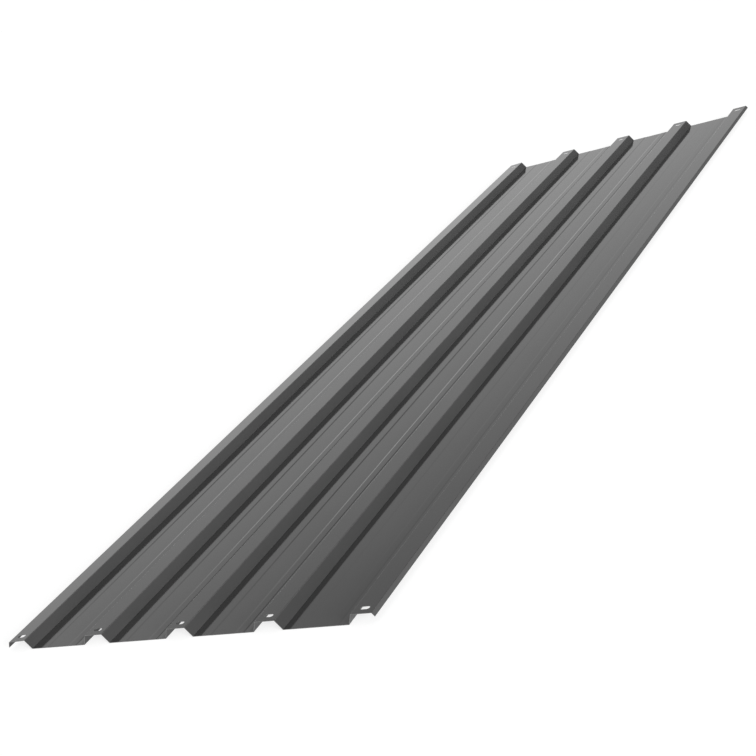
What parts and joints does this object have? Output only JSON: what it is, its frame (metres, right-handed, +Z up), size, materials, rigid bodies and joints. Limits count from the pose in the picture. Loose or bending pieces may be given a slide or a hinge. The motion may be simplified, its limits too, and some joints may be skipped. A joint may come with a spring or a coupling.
{
  "type": "corrugated metal sheet",
  "caption": "Painted steel roofing sheet with low trapezoidal ribs, sunk strips along its flat pans and oblong fixing slots through the crests at both ends.",
  "frame": {"origin": "on the floor under the middle of the sheet", "axes": "+X across the sheet, from the edge with the longer leg to the edge with the shorter leg; +Y along the ribs, from the end with the slots nearer to it to the other end; +Z up, out of the weather face"},
  "size_m": [0.45, 1.5, 0.0111],
  "materials": {
    "painted_steel": "dark grey baked paint, glossy, on thin steel sheet"
  },
  "bodies": {
    "root": {"ribbed_sheet": "painted_steel"}
  },
  "joints": []
}
